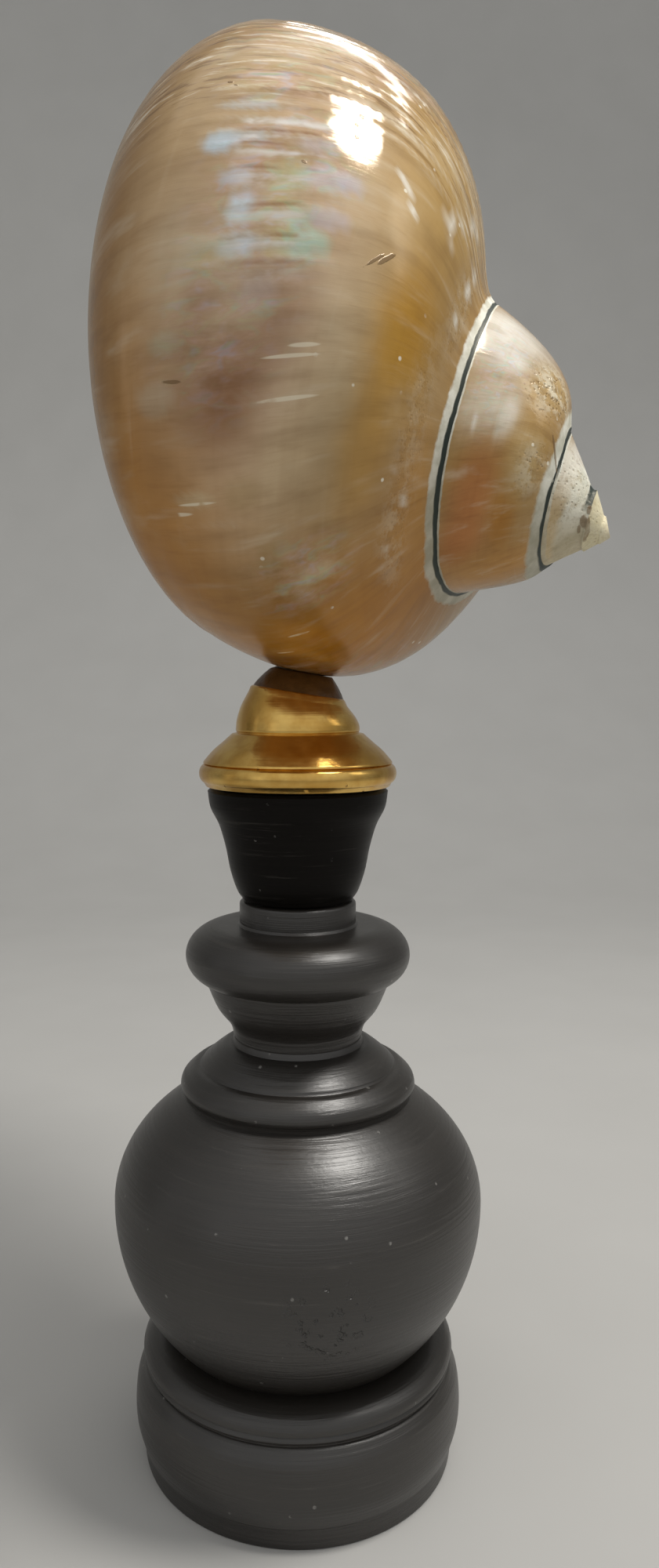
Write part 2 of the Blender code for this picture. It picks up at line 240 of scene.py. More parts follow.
def whorl_lift(angle, across):
    """Height of the growth lines, ripples and ridges on the whorls, in metres."""
    line = np.degrees(angle) + LINE_LEAN * across
    turns = line / 360
    size = suture_place(angle)[1] / SUTURE_RADIUS
    middle = np.sin(pi * across) ** 0.7
    lift = sum(height * wander(turns, across, seed, fine) for height, seed, fine in WAVES)
    lift = lift * size * middle
    for at_line, at, reach, width, height in RIPPLES:
        along = (line - at_line) / width
        side = (across - at) / reach
        lift = lift + height * np.exp(-along ** 2 - side ** 4)
    source = np.random.default_rng(11)
    at_line = RIDGES_FROM
    while at_line < RIDGES_TO:
        lean = source.normal(0.0, RIDGE_LEAN)
        width, height = source.uniform(*RIDGE_WIDTHS), source.uniform(*RIDGE_HEIGHTS)
        along = (line + lean * (across - 0.6) - at_line) / width
        side = (across - source.uniform(*RIDGE_MIDDLES)) / source.uniform(*RIDGE_REACHES)
        lift = lift + height * np.exp(-along ** 2 - side ** 4)
        at_line += source.uniform(*RIDGE_GAPS)
    return lift * MM


class Skin:
    """Points and faces of one skin, with a growth mark (turns, across) at each corner."""

    def __init__(self):
        self.points = []
        self.count = 0
        self.faces = []
        self.marks = []

    def add(self, points):
        """Take an array of points and give back their numbers in the same grid."""
        points = np.asarray(points, float)
        numbers = np.arange(self.count, self.count + points[..., 0].size)
        self.points.append(points.reshape(-1, 3))
        self.count += numbers.size
        return numbers.reshape(points.shape[:-1])

    def weave(self, grid, turns, across):
        """Fill a grid of point numbers with faces; two corners that are one make a triangle."""
        turns, across, grid = np.broadcast_arrays(turns, across, grid)
        pick = [(slice(0, -1), slice(0, -1)), (slice(0, -1), slice(1, None)),
                (slice(1, None), slice(1, None)), (slice(1, None), slice(0, -1))]
        corners = np.stack([grid[p].ravel() for p in pick], -1)
        marks = np.stack([np.stack([turns[p].ravel(), across[p].ravel()], -1) for p in pick], 1)
        for face, mark in zip(corners.tolist(), marks.tolist()):
            keep = [k for k in range(4) if face[k] != face[k - 1]]
            if len(keep) > 2:
                self.faces.append([face[k] for k in keep])
                self.marks.extend(mark[k] for k in keep)

    def fan(self, centre, ring, mark):
        """Close a ring of point numbers with triangles round one point."""
        for here, ahead in zip(ring, ring[1:] + ring[:1]):
            if here != ahead:
                self.faces.append([centre, here, ahead])
                self.marks.extend([mark] * 3)


def shell_place():
    """The shell's own frame in the world."""
    to_apex = Vector((cos(AXIS_DIP) * cos(AXIS_TOWARDS_FRONT),
                      -cos(AXIS_DIP) * sin(AXIS_TOWARDS_FRONT),
                      -sin(AXIS_DIP)))
    upward = (Vector((0.0, 0.0, 1.0)) - to_apex * to_apex.z).normalized()
    frontward = upward.cross(-to_apex)
    turn = Matrix((frontward, upward, -to_apex)).transposed().to_4x4()
    return Matrix.Translation(APEX) @ turn


def spread(steps):
    """Shares from 0 to 1 that lie closer together towards both ends."""
    even = np.linspace(0.0, 1.0, steps + 1)
    return 0.45 * even + 0.55 * (0.5 - 0.5 * np.cos(pi * even))


def shell_skin():
    """The whole shell as one closed skin: whorls, base, rounded lip and hollow inside."""
    skin = Skin()
    rows = STEPS_PER_TURN * WHORLS
    turn_rows = np.concatenate([
        np.linspace(LIP_ANGLE - TURN, FINE_FROM, ROWS_BEFORE, endpoint=False),
        np.linspace(FINE_FROM, FINE_TO, FINE_ROWS, endpoint=False),
        np.linspace(FINE_TO, LIP_ANGLE, ROWS_AFTER, endpoint=False)])
    row_angle = np.concatenate([turn_rows + TURN * (turn - WHORLS + 1)
                                for turn in range(WHORLS + 1)] + [[LIP_ANGLE + TURN]])
    lean = lip_lean(row_angle)
    suture_angle = row_angle + lean
    sutures = skin.add(shell_points(suture_angle, suture_place(suture_angle)))

    across = spread(WHORL_STEPS)
    angle = row_angle[:rows + 1, None]
    start = lean[:rows + 1, None]
    end = lip_lean(row_angle[:rows + 1] + TURN)[:, None]
    leaning = angle + start + (end - start) * across
    inner = leaning[:, 1:-1]
    lift = whorl_lift(angle, across)[:, 1:-1]
    middle = skin.add(shell_points(inner, whorl_place(inner, across[1:-1], lift)))
    whorls = np.concatenate([sutures[:rows + 1, None], middle,
                             sutures[STEPS_PER_TURN:, None]], 1)
    skin.weave(whorls, angle / TURN, across)

    inward = np.linspace(0.0, 1.0, BASE_STEPS + 1)
    first = rows - STEPS_PER_TURN
    base_angle = row_angle[first:rows + 1, None]
    base_lean = lip_lean(row_angle[first:rows + 1] + TURN)[:, None]
    leaning_base = base_angle + base_lean + 0 * inward
    foot = skin.add(np.array([[0.0, 0.0, COLUMELLA_END]]))
    middle = skin.add(shell_points(leaning_base[:, 1:-1],
                                   base_place(leaning_base[:, 1:-1], inward[1:-1])))
    base = np.concatenate([sutures[first + STEPS_PER_TURN:, None], middle,
                           np.repeat(foot, len(middle))[:, None]], 1)
    skin.weave(base, base_angle / TURN, 1 + inward)

    tip = int(skin.add(shell_points(np.zeros(1), (np.zeros(1), np.zeros(1))))[0])
    tip_ring = sutures[:STEPS_PER_TURN].tolist() + whorls[0, :0:-1].tolist()
    skin.fan(tip, tip_ring, [float(row_angle[0]) / TURN, 0.5])

    # Around the mouth: across the whorl, down the base to the axis, and back on the last turn
    ring = np.concatenate([whorls[-1], base[-1, 1:], base[0, -2:0:-1]])
    ring_angle = np.concatenate([leaning[-1], leaning_base[-1, 1:],
                                 leaning_base[0, -2:0:-1] + TURN])
    whorl_line = whorl_place(leaning[-1], across)
    base_line = base_place(leaning_base[-1, 1:], inward[1:])
    back_line = base_place(leaning_base[0, -2:0:-1], inward[-2:0:-1])
    ring_drop = np.concatenate([whorl_line[0], base_line[0], back_line[0]])
    ring_radius = np.concatenate([whorl_line[1], base_line[1], back_line[1]])
    drop, radius = suture_place(LIP_ANGLE + TURN)
    off_drop = ring_drop - drop * HOLLOW_DROP
    off_radius = ring_radius - radius * HOLLOW_RADIUS
    sin_tilt, cos_tilt = sin(HOLLOW_TILT), cos(HOLLOW_TILT)
    around = np.arctan2((-off_drop * sin_tilt + off_radius * cos_tilt)
                        / (radius * HOLLOW_HALF_WIDTH),
                        (off_drop * cos_tilt + off_radius * sin_tilt)
                        / (drop * HOLLOW_HALF_LENGTH))
    ring_lean = ring_angle - LIP_ANGLE

    def hollow_ring(reach):
        """Places and turn angles of the hollow's ring, reach from 0 past the lip to 1."""
        angle = LIP_ANGLE + HOLLOW_PAST_LIP - (HOLLOW_DEPTH + HOLLOW_PAST_LIP) * reach
        drop, radius = suture_place(angle + TURN)
        fade = sqrt(1 - (HOLLOW_END_ROUNDING * reach) ** 8)
        long = fade * drop * HOLLOW_HALF_LENGTH * np.cos(around)
        wide = fade * radius * HOLLOW_HALF_WIDTH * np.sin(around)
        near = max(0.0, 1 - (LIP_ANGLE - angle) / (LIP_LENGTH * 0.6)) ** 2
        return (angle + ring_lean * near,
                drop * HOLLOW_DROP + long * cos_tilt - wide * sin_tilt,
                radius * HOLLOW_RADIUS + long * sin_tilt + wide * cos_tilt)

    at_lip = HOLLOW_PAST_LIP / (HOLLOW_DEPTH + HOLLOW_PAST_LIP)
    _, lip_drop, lip_radius = hollow_ring(at_lip)
    wall = np.hypot(ring_drop - lip_drop, ring_radius - lip_radius)
    bulge = np.minimum(0.5 * wall, LIP_ROUNDING) / np.maximum(LIP_ROUNDING_RADIUS, ring_radius)
    lines = [ring]
    for step in range(1, LIP_STEPS + 1):
        share = step / LIP_STEPS
        mix = 0.5 - 0.5 * cos(pi * share)
        angle_here = ring_angle - bulge + bulge * sin(pi * share) + bulge * (1 - share)
        place = (ring_drop + (lip_drop - ring_drop) * mix,
                 ring_radius + (lip_radius - ring_radius) * mix)
        lines.append(skin.add(shell_points(angle_here, place)))
    for step in range(1, HOLLOW_STEPS + 1):
        reach = at_lip + (1 - at_lip) * step / HOLLOW_STEPS
        angle_here, drop_here, radius_here = hollow_ring(reach)
        angle_here = angle_here - bulge * max(0.0, 1 - step / LIP_ROUNDING_STEPS)
        lines.append(skin.add(shell_points(angle_here, (drop_here, radius_here))))
    throat = np.stack(lines)
    throat = np.concatenate([throat, throat[:, :1]], 1)
    depth = np.linspace(0.0, 1.0, len(lines))[:, None]
    skin.weave(throat, LIP_ANGLE / TURN - depth, 2 + depth)
    end = skin.points[-1].mean(0)
    skin.fan(int(skin.add(end[None])[0]), throat[-1, :-1].tolist(), [0.0, 3.0])
    return skin


def new_object(name, data):
    """An object that shows its data in the scene."""
    made = bpy.data.objects.new(name, data)
    bpy.context.scene.collection.objects.link(made)
    return made


def new_piece(name, points, faces, finish, covers):
    """One smooth visible piece that stands for a node of the frame."""
    mesh = bpy.data.meshes.new(name)
    mesh.from_pydata(points, [], faces)
    mesh.materials.append(finish)
    mesh.validate()
    mesh.shade_smooth()
    piece = new_object(name, mesh)
    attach(piece, "root")
    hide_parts(covers)
    return piece


def turned_piece(name, profile, finish, covers, steps=LATHE_STEPS):
    """A piece turned about the stand's axis from a profile of radius and height, top first."""
    profile = np.asarray(profile, float)
    rings = profile[1:-1]
    angle = TURN * np.arange(steps) / steps
    points = np.stack([rings[:, 0, None] * np.cos(angle), rings[:, 0, None] * np.sin(angle),
                       rings[:, 1, None] + 0 * angle], -1).reshape(-1, 3).tolist()
    top = len(points)
    points += [(0.0, 0.0, profile[0, 1]), (0.0, 0.0, profile[-1, 1])]
    faces = []
    for row in range(len(rings) - 1):
        for step in range(steps):
            here = row * steps + step
            other = row * steps + (step + 1) % steps
            faces.append((here, here + steps, other + steps, other))
    last = (len(rings) - 1) * steps
    for step in range(steps):
        other = (step + 1) % steps
        faces.append((top, step, other))
        faces.append((last + step, top + 1, last + other))
    piece = new_piece(name, points, faces, finish, covers)
    piece.data.set_sharp_from_angle(angle=SHARP_ANGLE)
    return piece


def arc(centre, size, start, end, steps):
    """Points on an ellipse about centre, angles in degrees from outward towards up."""
    angles = np.radians(np.linspace(start, end, steps + 1))
    return [(centre[0] + size[0] * cos(a), centre[1] + size[1] * sin(a))
            for a in angles]


def smooth_line(stations, steps):
    """A smooth curve through a few stations, with the given steps between each two."""
    stations = [np.array(station, float) for station in stations]
    ends = [2 * stations[0] - stations[1], *stations, 2 * stations[-1] - stations[-2]]
    points = [tuple(stations[0])]
    for here in range(1, len(ends) - 2):
        before, start, end, after = ends[here - 1:here + 3]
        for step in range(1, steps + 1):
            u = step / steps
            points.append(tuple(0.5 * (2 * start + (end - before) * u
                                       + (2 * before - 5 * start + 4 * end - after) * u ** 2
                                       + (3 * start - before - 3 * end + after) * u ** 3)))
    return points


def in_mm(points):
    """Places given in millimetres, in metres."""
    return [(radius * MM, height * MM) for radius, height in points]


class Wire:
    """A socket of a finish. Sums of wires and numbers add the Math nodes they need."""

    def __init__(self, tree, socket=None):
        self.tree = tree
        self.socket = socket

    def node(self, kind, settings=None, sockets=None, out=0):
        """Any other node: its settings first, then its sockets' values or wires."""
        made = self.tree.nodes.new("ShaderNode" + kind)
        for name, setting in (settings or {}).items():
            if name == "stops":
                ramp = made.color_ramp
                while len(ramp.elements) < len(setting):
                    ramp.elements.new(0.5)
                for element, (place, colour) in zip(ramp.elements, setting):
                    element.position = place
                    element.color = (*colour, 1.0)
            else:
                setattr(made, name, setting)
        for name, value in (sockets or {}).items():
            if isinstance(value, Wire):
                self.tree.links.new(value.socket, made.inputs[name])
            else:
                made.inputs[name].default_value = value
        return Wire(self.tree, made.outputs[out])

    def maths(self, operation, *values):
        """A Math node of wires and numbers."""
        return self.node("Math", {"operation": operation}, dict(enumerate(values)))

    def __add__(self, other):
        return self.maths("ADD", self, other)

    def __radd__(self, other):
        return self.maths("ADD", other, self)

    def __sub__(self, other):
        return self.maths("SUBTRACT", self, other)

    def __rsub__(self, other):
        return self.maths("SUBTRACT", other, self)

    def __mul__(self, other):
        return self.maths("MULTIPLY", self, other)

    def __rmul__(self, other):
        return self.maths("MULTIPLY", other, self)

    def __truediv__(self, other):
        return self.maths("DIVIDE", self, other)

    def step(self, low, high):
        """0 below low, 1 above high and smooth between; falls where low is above high."""
        if low > high:
            return 1 - self.step(high, low)
        return self.node("MapRange", {"interpolation_type": "SMOOTHSTEP"},
                         {"Value": self, "From Min": low, "From Max": high})

    def mix(self, amount, first, second, how="MIX"):
        """The first colour where the amount is 0 and the second where it is 1."""
        return self.node("Mix", {"data_type": "RGBA", "blend_type": how},
                         {0: amount, 6: first, 7: second}, out=2)

    def tint(self, colour, amount):
        """This colour mixed with another by an amount."""
        return self.mix(amount, self, colour)

    def shade(self, colour, amount):
        """This colour multiplied by another by an amount."""
        return self.mix(amount, self, colour, "MULTIPLY")

    def stretch(self, along, up, out):
        """A place scaled by three numbers."""
        return self.node("VectorMath", {"operation": "MULTIPLY"}, {0: self, 1: (along, up, out)})

    def noise(self, scale, detail=3.0, roughness=0.5, distortion=0.0):
        """Soft noise round 0.5."""
        return self.node("TexNoise", None, {"Vector": self, "Scale": scale, "Detail": detail,
                                            "Roughness": roughness, "Distortion": distortion})

    def cells(self, scale):
        """Distance from the middle of the nearest cell."""
        return self.node("TexVoronoi", None, {"Vector": self, "Scale": scale})


def colour(red, green, blue):
    """A linear colour, fully solid."""
    return (red, green, blue, 1.0)


class Finish:
    """A material: its wires start from here and end in its shader."""

    def __init__(self, name, **fixed):
        self.material = bpy.data.materials.new(name)
        self.material.use_nodes = True
        self.tree = self.material.node_tree
        self.shader = self.tree.nodes["Principled BSDF"]
        self.start = Wire(self.tree)
        for socket, value in fixed.items():
            self.shader.inputs[socket.replace("_", " ")].default_value = value

    def place(self):
        """Where each point is, in the object's own metres."""
        return self.start.node("TexCoord", out=3)

    def painted(self, name, out=2):
        """What paint_shell gave each point under a name."""
        return self.start.node("Attribute", {"attribute_name": name}, out=out)

    def pair(self, along, up):
        """A place made of two numbers."""
        return self.start.node("CombineXYZ", None, {0: along, 1: up})

    def set(self, socket, wire):
        """Join a wire to a socket of the shader."""
        self.tree.links.new(wire.socket, self.shader.inputs[socket])

    def bumps(self, height, distance):
        """Raise the surface by a height of 0 to 1 times a distance in metres."""
        self.set("Normal", self.start.node("Bump", None, {"Height": height, "Strength": 1.0,
                                                          "Distance": distance}))


def parted(wire):
    """The three numbers of a place."""
    made = wire.tree.nodes.new("ShaderNodeSeparateXYZ")
    wire.tree.links.new(wire.socket, made.inputs[0])
    return [Wire(wire.tree, output) for output in made.outputs]


def nacre_finish():
    """Polished nacre: painted growth colours with painted highlights and shade, under fine growth
    lines and a bright polish.
    """
    nacre = Finish("polished_nacre", IOR=1.5, Specular_IOR_Level=0.48,
                   Specular_Tint=colour(1, 0.9, 0.74))
    place = nacre.place()
    turns, across, _ = parted(place.node("UVMap", {"uv_map": "growth"}))
    paint = nacre.painted("growth_colour", out=0)
    pearl = nacre.painted("pearl")
    worn = nacre.painted("worn")

    # Growth lines, fine and broad, that lean back across the whorl
    line = turns + across * (LINE_LEAN / 360)
    cloud = place.noise(70, 4, 0.55)
    grain = place.noise(900, 3, 0.6)
    lines = nacre.pair(line * 250, across * 6).noise(1, 5, 0.62, 0.3)
    broad = nacre.pair(line * 70, across * 2.6).noise(1, 3, 0.55, 0.3)
    hair = nacre.pair(line * 1500, across * 9).noise(1, 2)

    shade = paint.shade(colour(0.74, 0.68, 0.6), cloud.step(0.6, 0.36) * 0.4)
    shade = shade.tint(colour(0.74, 0.66, 0.48), cloud.step(0.54, 0.8) * 0.22)
    shade = shade.shade(colour(0.62, 0.55, 0.46), broad.step(0.52, 0.28) * 0.42)
    shade = shade.tint(colour(0.78, 0.7, 0.56), broad.step(0.54, 0.8) * 0.3)
    shade = shade.shade(colour(0.74, 0.68, 0.6), lines.step(0.5, 0.3) * 0.25)
    shade = shade.shade(colour(0.9, 0.87, 0.84), hair.step(0.5, 0.3) * 0.25)
    # Painted shade and painted highlights along the growth lines over the top of the last whorl
    top = line.step(56 / 360, 68 / 360) * line.step(150 / 360, 120 / 360)
    shade = shade.shade(colour(0.46, 0.36, 0.26), lines.step(0.48, 0.36) * top * 0.75)
    shade = shade.tint(colour(0.86, 0.8, 0.66), lines.step(0.54, 0.68) * top * 0.6)
    spiral = nacre.pair(turns * 7, across * 15).noise(1, 3, 0.55)
    shade = shade.shade(colour(0.66, 0.56, 0.46), spiral.step(0.5, 0.28) * 0.15)
    shade = shade.tint(colour(0.74, 0.66, 0.5), spiral.step(0.6, 0.85) * 0.1)

    # Play of colour, in short bars along the growth lines
    tiles = nacre.pair(line * 130, across * 11)
    bars_share = tiles.noise(0.8, 3, 0.6)
    film = tiles.noise(1, 2, 0.5, 0.6) * 2.6 + place.noise(60, 2) * 1.4
    rainbow = film.node("ValToRGB", {"stops": [
        (0, (0.6, 0.42, 0.38)), (0.16, (0.62, 0.58, 0.34)), (0.32, (0.4, 0.66, 0.5)),
        (0.48, (0.42, 0.64, 0.72)), (0.62, (0.66, 0.62, 0.78)), (0.8, (0.72, 0.5, 0.44)),
        (1, (0.6, 0.42, 0.26))]}, {0: film.maths("FRACT", film)})
    shade = shade.tint(rainbow, pearl * bars_share.step(0.32, 0.62))

    # Painted highlights and painted shade in bars beside the ripples
    wobbly = line * 360 + (place.noise(110, 2) - 0.5) * 1.6 + (grain - 0.5) * 0.3
    along = (wobbly - PAINTED_RIPPLE_LIGHT_FROM) / (PAINTED_RIPPLE_LIGHT_TO - PAINTED_RIPPLE_LIGHT_FROM)
    bars = along.node("ValToRGB", {"stops": [
        ((at_line - PAINTED_RIPPLE_LIGHT_FROM) / (PAINTED_RIPPLE_LIGHT_TO - PAINTED_RIPPLE_LIGHT_FROM), (bright, bright, bright))
        for at_line, bright in PAINTED_RIPPLE_LIGHT]}, {0: along})
    bars = parted(bars)[0]
    ends = across + (bars_share - 0.5) * 0.12 - along * 0.09
    window = ends.step(0.83, 0.79) * ends.step(0.57, 0.67) * turns.step(-0.5, -0.4)
    window = window * bars_share.step(0.3, 0.58) * turns.step(8 / 360, 14 / 360)
    shade = shade.shade(colour(0.54, 0.36, 0.22), bars.step(0.5, 0.15) * window * 0.75)
    shade = shade.tint(colour(0.84, 0.82, 0.78), bars.step(0.56, 1) * window * 0.75)

    # Suture: a dark line in a pale band, as wide on every turn and gone on the earliest
    early = turns.maths("MAXIMUM", turns, LAST_BANDED)
    fraction = (turns + 0.5).maths("FRACT", turns + 0.5) - 0.5
    waver = (place.noise(140, 2) - 0.5) * 0.026
    fine_waver = (place.noise(600, 2) - 0.5) * 0.007
    near = across * early.maths("EXPONENT", early * BAND_GROWTH) - waver - fine_waver
    far = (1 - across) * early.maths("EXPONENT", (early + 1) * BAND_GROWTH) + waver + fine_waver
    whorl = across.step(1.02, 1)
    covered = turns.step(LAST_COVERED + 0.002, LAST_COVERED)
    edge = (grain - 0.5) * 0.016
    band = ((near + edge).step(*BAND_NEAR) + (far + edge).step(*BAND_FAR) * covered) * whorl
    band = band.maths("MINIMUM", band, 1)
    pale = place.mix(place.noise(300, 4, 0.6).step(0.35, 0.7),
                     colour(0.6, 0.6, 0.5), colour(0.95, 0.95, 0.86))
    # Painted shade: the pale band darker on the lower half of each turn
    pale = pale.shade(colour(0.52, 0.51, 0.46), fraction.step(0.08, -0.1) * 0.85)
    shade = shade.tint(pale, band * 0.9 * (turns.step(-2.4, -1.8) * 0.8 + 0.2))
    groove = (near.step(*GROOVE_NEAR) + far.step(*GROOVE_FAR) * covered) * whorl
    groove = groove.maths("MINIMUM", groove, turns.step(-1.98, -1.9))
    shade = shade.tint(colour(0.012, 0.026, 0.024), groove)

    # Small dark marks
    dark = None
    for turn, at, long, wide, lean in DARK_MARKS:
        along = turns * 360 - turn - (across - at) * lean
        spot = nacre.pair(along / long, (across - at) / wide)
        reach = spot.node("VectorMath", {"operation": "LENGTH"}, {0: spot}, out=1)
        mark = (reach + (grain - 0.5) * 1.2).step(1.15, 0.75)
        dark = mark if dark is None else dark.maths("MAXIMUM", dark, mark)
    shade = shade.tint(colour(0.15, 0.082, 0.028), dark * 0.72)

    # Worn places: chalky flakes and open pits
    pits = place.cells(1500)
    flakes = worn * place.noise(380, 4, 0.7).step(0.44, 0.58)
    shade = shade.tint(colour(0.8, 0.76, 0.62), flakes * 0.62)
    shade = shade.shade(colour(0.34, 0.24, 0.13), worn * pits.step(0.28, 0.1) * 0.8)
    shade = shade.shade(colour(0.52, 0.42, 0.28), worn * grain.step(0.46, 0.36) * 0.7)

    # Pale specks, and painted glints: short bright lines of reflected light
    specks = place.cells(300).step(0.1, 0.06) * place.noise(90, 2).step(0.48, 0.56)
    shade = shade.tint(colour(0.9, 0.86, 0.72), specks * 0.75 * across.step(0.75, 0.6))
    # Painted glints of reflected light, tinted into the colour
    for turn, at, long, wide in PAINTED_GLINTS:
        side = (across - at) / wide
        along = (line * 360 - turn - LINE_LEAN * at) / long
        painted_glint = (side * side + along * along).step(1.2, 0.5) * place.noise(300).step(0.36, 0.5)
        shade = shade.tint(colour(0.88, 0.8, 0.62), painted_glint * 0.6)
    nacre.set("Base Color", shade)

    nacre.set("Metallic", 0.04 + pearl * 0.3 + nacre.painted("golden") * 0.35)
    nacre.set("Roughness", 0.19 - nacre.painted("gloss") * 0.13 + grain * 0.05 + worn * 0.3
              + band * 0.25 + dark * 0.25)
    height = (lines * 0.3 + broad * 0.25 + hair * 0.06 + grain * 0.006 - groove * 1.6
              - dark * 0.6 + worn * (pits.step(0.05, 0.35) * 1.6 + flakes * 1))
    nacre.bumps(height, 0.08 * MM)
    return nacre.material


def black_wood_finish(name, depth, shine, tone):
    """Satin black over turned wood: brushed rings, scuffs, dust, dents and a soft shine."""
    wood = Finish(name, Specular_IOR_Level=shine)
    place = wood.place()
    strokes = place.stretch(60, 60, 2600).noise(1, 4, 0.6, 0.3)
    broad = place.stretch(30, 30, 420).noise(1, 3, 0.5, 0.2)
    grain = place.noise(1400, 3, 0.6)
    cloud = place.noise(55)
    shade = place.mix(strokes * 0.6 + cloud * 0.4,
                      colour(0.006 * tone, 0.0052 * tone, 0.0045 * tone),
                      colour(0.03 * tone, 0.025 * tone, 0.02 * tone))
    dust = place.cells(330).step(0.1, 0.05)
    shade = shade.tint(colour(0.3, 0.29, 0.27), dust * grain.step(0.45, 0.6) * 0.5)
    scuffs = place.stretch(60, 60, 1500).noise(1, 5, 0.7, 0.4)
    shade = shade.tint(colour(0.1, 0.092, 0.08), scuffs.step(0.58, 0.78) * cloud * 0.7)
    wood.set("Base Color", shade)
    wood.set("Roughness", 0.24 + strokes * 0.14 + cloud * 0.08 + scuffs.step(0.5, 0.8) * 0.1)
    off = place.node("VectorMath", {"operation": "DISTANCE"}, {0: place, 1: DENTED_PLACE}, out=1)
    dents = place.noise(700, 3, 0.6).step(0.56, 0.66) * off.step(*DENTED_REACH)
    wood.bumps(strokes * 0.5 + broad * 0.5 + grain * 0.12 - dents * 1.6, depth)
    return wood.material


def brass_finish():
    """Polished spun brass with fine rings, faint tarnish and a few nicks."""
    brass = Finish("spun_brass", Metallic=1)
    place = brass.place()
    rings = place.stretch(40, 40, 3400).noise(1, 3, 0.6, 0.1)
    cloud = place.noise(180, 4, 0.6)
    grain = place.noise(2200, 2, 0.6)
    shade = place.mix(cloud.step(0.35, 0.7), colour(0.58, 0.33, 0.075), colour(0.8, 0.53, 0.16))
    nicks = place.stretch(1, 1, 0.5).cells(420)
    mark = nicks.step(0.1, 0.05) * cloud.step(0.5, 0.62)
    shade = shade.tint(colour(0.2, 0.11, 0.04), mark * 0.8)
    brass.set("Base Color", shade)
    brass.set("Roughness", 0.15 + rings * 0.1 + cloud * 0.08 + mark * 0.2)
    dings = place.noise(260, 2)
    brass.bumps(rings * 0.4 + grain * 0.1 + dings * 2.4 - mark * 0.9, 0.05 * MM)
    return brass.material


def glue_finish():
    """Dark set glue, smooth and a little lumpy."""
    glue = Finish("dark_glue_bed", IOR=1.5, Specular_IOR_Level=0.22)
    lumps = glue.place().noise(420, 3, 0.6)
    glue.set("Base Color", lumps.mix(lumps, colour(0.022, 0.01, 0.003),
                                     colour(0.15, 0.066, 0.016)))
    glue.set("Roughness", 0.22 + lumps * 0.2)
    glue.bumps(lumps, 0.25 * MM)
    return glue.material


def floor_finish():
    """Plain pale ground."""
    paper = Finish("pale_ground", Roughness=0.9)
    cloud = paper.place().noise(30)
    paper.set("Base Color", cloud.mix(cloud, colour(0.45, 0.445, 0.43),
                                      colour(0.49, 0.485, 0.47)))
    return paper.material


# Growth colours, linear: body tan and the tints laid over it, some also laid as painted
# highlights
TAN = (0.44, 0.275, 0.112)
TINTS = {
    "orange": (0.45, 0.18, 0.008), "edge": (0.35, 0.165, 0.04), "rosy": (0.42, 0.235, 0.13),
    "purple": (0.27, 0.115, 0.045), "amber": (0.56, 0.29, 0.03), "gold": (0.45, 0.275, 0.07),
    "olive": (0.36, 0.25, 0.09), "cream": (0.68, 0.56, 0.35), "haze": (0.8, 0.64, 0.46),
    "white": (0.96, 0.945, 0.87), "old_cream": (0.9, 0.82, 0.54), "pale": (0.72, 0.68, 0.56),
    "umber": (0.34, 0.195, 0.085), "sky": (0.6, 0.71, 0.8), "lilac": (0.58, 0.52, 0.56),
    "mint": (0.5, 0.66, 0.54), "lime": (0.55, 0.5, 0.22), "rust": (0.5, 0.2, 0.06),
    "ochre": (0.56, 0.29, 0.075), "sand": (0.56, 0.4, 0.18), "slate": (0.28, 0.22, 0.15),
}

# Painted shade in the troughs between the growth ridges and painted highlights on their crests:
# how much the troughs darken and how much the crests pale
TROUGH_PAINTED_SHADE = 0.16
CREST_PAINTED_HIGHLIGHT = 0.35

# Colour and pearl of the nacre inside
INSIDE = (0.8, 0.76, 0.7)
INSIDE_PEARL = 0.65

